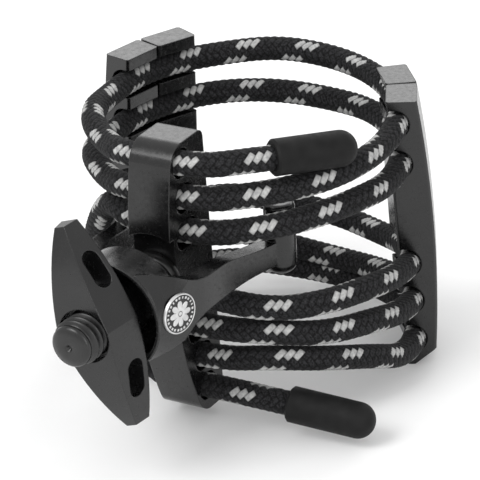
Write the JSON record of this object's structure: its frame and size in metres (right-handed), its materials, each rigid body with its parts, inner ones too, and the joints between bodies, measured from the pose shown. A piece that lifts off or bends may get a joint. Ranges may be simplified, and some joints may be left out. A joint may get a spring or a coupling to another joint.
{
  "type": "saxophone ligature",
  "caption": "Cord ligature for a saxophone mouthpiece: braided cord wound through two pairs of metal plates and a bracket, tightened by a screw with a wing nut and a forked yoke.",
  "frame": {"origin": "where the screw's axis meets the mouthpiece's axis", "axes": "+Z runs along the mouthpiece's axis from the wide end of the ring to the narrow one, -Y points along the screw to its free end, +X completes the frame"},
  "size_m": [0.037, 0.0507, 0.03],
  "materials": {
    "cord": "tightly braided charcoal cord with pale flecks",
    "cap": "matte black moulded rubber",
    "black_metal": "satin black anodised",
    "black_steel": "blackened steel",
    "badge": null
  },
  "bodies": {
    "frame": {"cord": "cord", "cap_upper": "cap", "cap_lower": "cap", "bracket": "black_metal", "stud": "black_steel"},
    "bridge": {"bridge": "black_metal", "badge": "badge"},
    "nut": {"wing_nut": "black_metal"},
    "right_plates": {"plate_right_front": "black_metal", "plate_right_back": "black_metal"},
    "left_plates": {"plate_left_front": "black_metal", "plate_left_back": "black_metal"}
  },
  "joints": [
    {"name": "nut_turn", "type": "hinge", "parent": "bridge", "child": "nut", "pos_m": [0, -0.029, 0], "axis": [0, 1, 0], "range_deg": [-360, 720]},
    {"name": "bridge_slide", "type": "slide", "parent": "frame", "child": "bridge", "axis": [0, 1, 0], "range_m": [-0.0007, 0.0015]},
    {"name": "right_plates_shift", "type": "hinge", "parent": "frame", "child": "right_plates", "pos_m": [0, 0, 0], "axis": [0, 0, 1], "range_deg": [-3, 0]},
    {"name": "left_plates_shift", "type": "hinge", "parent": "frame", "child": "left_plates", "pos_m": [0, 0, 0], "axis": [0, 0, 1], "range_deg": [-3, 3]}
  ],
  "couplings": [
    {"joint": "nut_turn", "follows": "bridge_slide", "rad_per_m": 7854}
  ]
}
